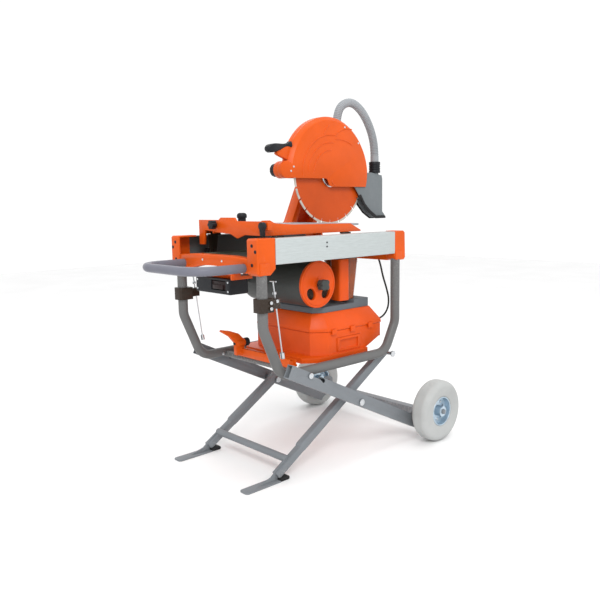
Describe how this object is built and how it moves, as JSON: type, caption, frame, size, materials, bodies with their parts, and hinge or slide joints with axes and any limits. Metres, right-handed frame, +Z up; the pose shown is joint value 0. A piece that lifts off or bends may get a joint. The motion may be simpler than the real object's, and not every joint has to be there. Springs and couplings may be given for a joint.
{
  "type": "masonry saw",
  "caption": "Dry-cutting masonry table saw: tilting head with guarded diamond blade, rolling table, dust tub, on a folding scissor stand with wheels.",
  "frame": {"origin": "on the ground under the centre of the bounding box of the machine without its hose and cables", "axes": "+Z up, +X to the rear where the wheels are, -Y to the near side with the drawer and crank"},
  "size_m": [1.24, 0.822, 1.4761],
  "materials": {
    "tube_grey": "satin powder coat",
    "rail_silver": "silver-white satin",
    "orange_paint": "gloss paint",
    "pan_grey": "satin",
    "zinc_steel": "zinc plated",
    "orange_plastic": "moulded",
    "lid_grey": "moulded",
    "canister_grey": "moulded",
    "amber_plastic": "translucent",
    "clamp_brown": "satin",
    "black_plastic": "moulded",
    "cable_black": "matt",
    "cast_orange": "painted casting",
    "cast_grey": "casting",
    "belt_rubber": "matt",
    "boot_grey": "moulded",
    "boot_rubber": "matt",
    "hose_grey": "ribbed",
    "blade_orange": "satin",
    "segment_steel": "sintered",
    "deck_grey": "satin",
    "roller_black": "moulded",
    "paddle_red": "moulded",
    "filter_paper": "pleated",
    "arm_grey": "satin, bluish",
    "tyre_grey": "flat-free, ribbed",
    "rim_zinc": "zinc plated"
  },
  "bodies": {
    "saw_frame": {"cradle_frame": "tube_grey", "side_rails": "rail_silver", "rail_caps": "orange_paint", "cross_members": "orange_paint", "push_handle": "tube_grey", "dust_pan": "pan_grey", "column": "orange_paint", "head_pivot_pin": "zinc_steel", "tub_lower": "orange_plastic", "tub_hood": "orange_plastic", "tub_lid": "lid_grey", "canister": "canister_grey", "canister_cap": "orange_plastic", "cyclone_cones": "amber_plastic", "tube_clamps": "clamp_brown", "cradle_pins": "zinc_steel", "mitre_guide": "orange_paint", "switch_box": "black_plastic", "rear_cable": "cable_black", "switch_cable": "cable_black"},
    "head": {"head_arm": "cast_orange", "arbor_bearings": "zinc_steel", "motor_and_belt_cover": "cast_grey", "drive_belt": "belt_rubber", "guard_near": "orange_paint", "guard_far": "orange_paint", "handle_grip": "black_plastic", "dust_boot": "boot_grey", "boot_lip": "boot_rubber", "hose_coupling": "black_plastic", "suction_hose": "hose_grey"},
    "arbor": {"arbor_assembly": "zinc_steel", "blade_core": "blade_orange", "blade_segments": "segment_steel"},
    "rotor": {"motor_rotor": "zinc_steel"},
    "depth_knob": {"depth_lock_knob": "black_plastic"},
    "table": {"table_deck": "deck_grey", "table_apron": "orange_paint", "roller_hangers": "zinc_steel"},
    "roller_front_near": {"table_roller_front_near": "roller_black"},
    "roller_front_far": {"table_roller_front_far": "roller_black"},
    "roller_rear_near": {"table_roller_rear_near": "roller_black"},
    "roller_rear_far": {"table_roller_rear_far": "roller_black"},
    "fence_knob": {"fence_knob": "black_plastic"},
    "lock_lever": {"table_lock_lever": "black_plastic"},
    "clamp_knob": {"clamp_knob": "black_plastic"},
    "paddle": {"switch_paddle": "paddle_red"},
    "drawer": {"dust_drawer": "orange_plastic"},
    "filter": {"crank_knob": "canister_grey", "filter_cartridge": "filter_paper"},
    "legs": {"leg_frame": "tube_grey", "foot_pads": "boot_rubber", "scissor_bolts": "zinc_steel"},
    "wheel_arms": {"wheel_frame": "arm_grey"},
    "wheel_near": {"tyre_near": "tyre_grey", "rim_near": "rim_zinc"},
    "wheel_far": {"tyre_far": "tyre_grey", "rim_far": "rim_zinc"},
    "latch": {"latch_rods": "zinc_steel"},
    "mitre_knob": {"mitre_knob": "black_plastic"}
  },
  "joints": [
    {"name": "leg_fold", "type": "hinge", "parent": "saw_frame", "child": "legs", "pos_m": [0.298, 0, 0.389], "axis": [0, 1, 0], "range_deg": [0, 22]},
    {"name": "wheel_fold", "type": "hinge", "parent": "legs", "child": "wheel_arms", "pos_m": [0.071, 0, 0.236], "axis": [0, 1, 0], "range_deg": [-38.5, 0]},
    {"name": "wheel_spin_near", "type": "hinge", "parent": "wheel_arms", "child": "wheel_near", "pos_m": [0.471, -0.367, 0.13], "axis": [0, 1, 0], "continuous": true},
    {"name": "wheel_spin_far", "type": "hinge", "parent": "wheel_arms", "child": "wheel_far", "pos_m": [0.471, 0.367, 0.13], "axis": [0, 1, 0], "continuous": true},
    {"name": "latch_pull", "type": "slide", "parent": "saw_frame", "child": "latch", "axis": [-0.1343, 0, 0.9909], "range_m": [0, 0.012], "stiffness_N_per_m": 600, "springref_m": -0.02},
    {"name": "head_tilt", "type": "hinge", "parent": "saw_frame", "child": "head", "pos_m": [0.48, 0.15, 1.19], "axis": [0, 1, 0], "range_deg": [0, 30]},
    {"name": "blade_spin", "type": "hinge", "parent": "head", "child": "arbor", "pos_m": [0.27, 0.06, 1.131], "axis": [0, 1, 0], "continuous": true},
    {"name": "motor_spin", "type": "hinge", "parent": "head", "child": "rotor", "pos_m": [0.29, 0.178, 1.241], "axis": [0, 1, 0], "continuous": true},
    {"name": "depth_knob_turn", "type": "hinge", "parent": "head", "child": "depth_knob", "pos_m": [0.005, 0.1, 1.15], "axis": [0, 1, 0], "range_deg": [0, 270]},
    {"name": "table_slide", "type": "slide", "parent": "saw_frame", "child": "table", "axis": [1, 0, 0], "range_m": [0, 0.2]},
    {"name": "roll_front_near", "type": "hinge", "parent": "table", "child": "roller_front_near", "pos_m": [-0.255, -0.232, 0.8243], "axis": [0, 1, 0], "continuous": true},
    {"name": "roll_front_far", "type": "hinge", "parent": "table", "child": "roller_front_far", "pos_m": [-0.255, 0.232, 0.8243], "axis": [0, 1, 0], "continuous": true},
    {"name": "roll_rear_near", "type": "hinge", "parent": "table", "child": "roller_rear_near", "pos_m": [0.095, -0.232, 0.8243], "axis": [0, 1, 0], "continuous": true},
    {"name": "roll_rear_far", "type": "hinge", "parent": "table", "child": "roller_rear_far", "pos_m": [0.095, 0.232, 0.8243], "axis": [0, 1, 0], "continuous": true},
    {"name": "fence_knob_turn", "type": "hinge", "parent": "table", "child": "fence_knob", "pos_m": [-0.34, 0.079, 0.938], "axis": [1, 0, 0], "range_deg": [0, 270]},
    {"name": "table_lock_turn", "type": "hinge", "parent": "table", "child": "lock_lever", "pos_m": [-0.33, -0.214, 0.936], "axis": [1, 0, 0], "range_deg": [0, 90]},
    {"name": "clamp_knob_turn", "type": "hinge", "parent": "table", "child": "clamp_knob", "pos_m": [-0.175, 0.112, 0.96], "axis": [0, 0, 1], "range_deg": [0, 270]},
    {"name": "switch_press", "type": "hinge", "parent": "saw_frame", "child": "paddle", "pos_m": [-0.385, -0.015, 0.732], "axis": [0, -1, 0], "range_deg": [0, 8], "stiffness_Nm_per_rad": 0.4},
    {"name": "drawer_slide", "type": "slide", "parent": "saw_frame", "child": "drawer", "axis": [0, -1, 0], "range_m": [0, 0.25]},
    {"name": "filter_turn", "type": "hinge", "parent": "saw_frame", "child": "filter", "pos_m": [-0.05, -0.01, 0.705], "axis": [0, 1, 0], "continuous": true},
    {"name": "mitre_knob_turn", "type": "hinge", "parent": "saw_frame", "child": "mitre_knob", "pos_m": [-0.205, 0.104, 0.46], "axis": [1, 0, 0], "range_deg": [0, 270]}
  ],
  "couplings": [
    {"joint": "wheel_fold", "follows": "leg_fold", "ratio": -1.7473},
    {"joint": "motor_spin", "follows": "blade_spin", "ratio": 1.5},
    {"joint": "roll_front_near", "follows": "table_slide", "rad_per_m": 62.5},
    {"joint": "roll_front_far", "follows": "table_slide", "rad_per_m": 62.5},
    {"joint": "roll_rear_near", "follows": "table_slide", "rad_per_m": 62.5},
    {"joint": "roll_rear_far", "follows": "table_slide", "rad_per_m": 62.5}
  ]
}
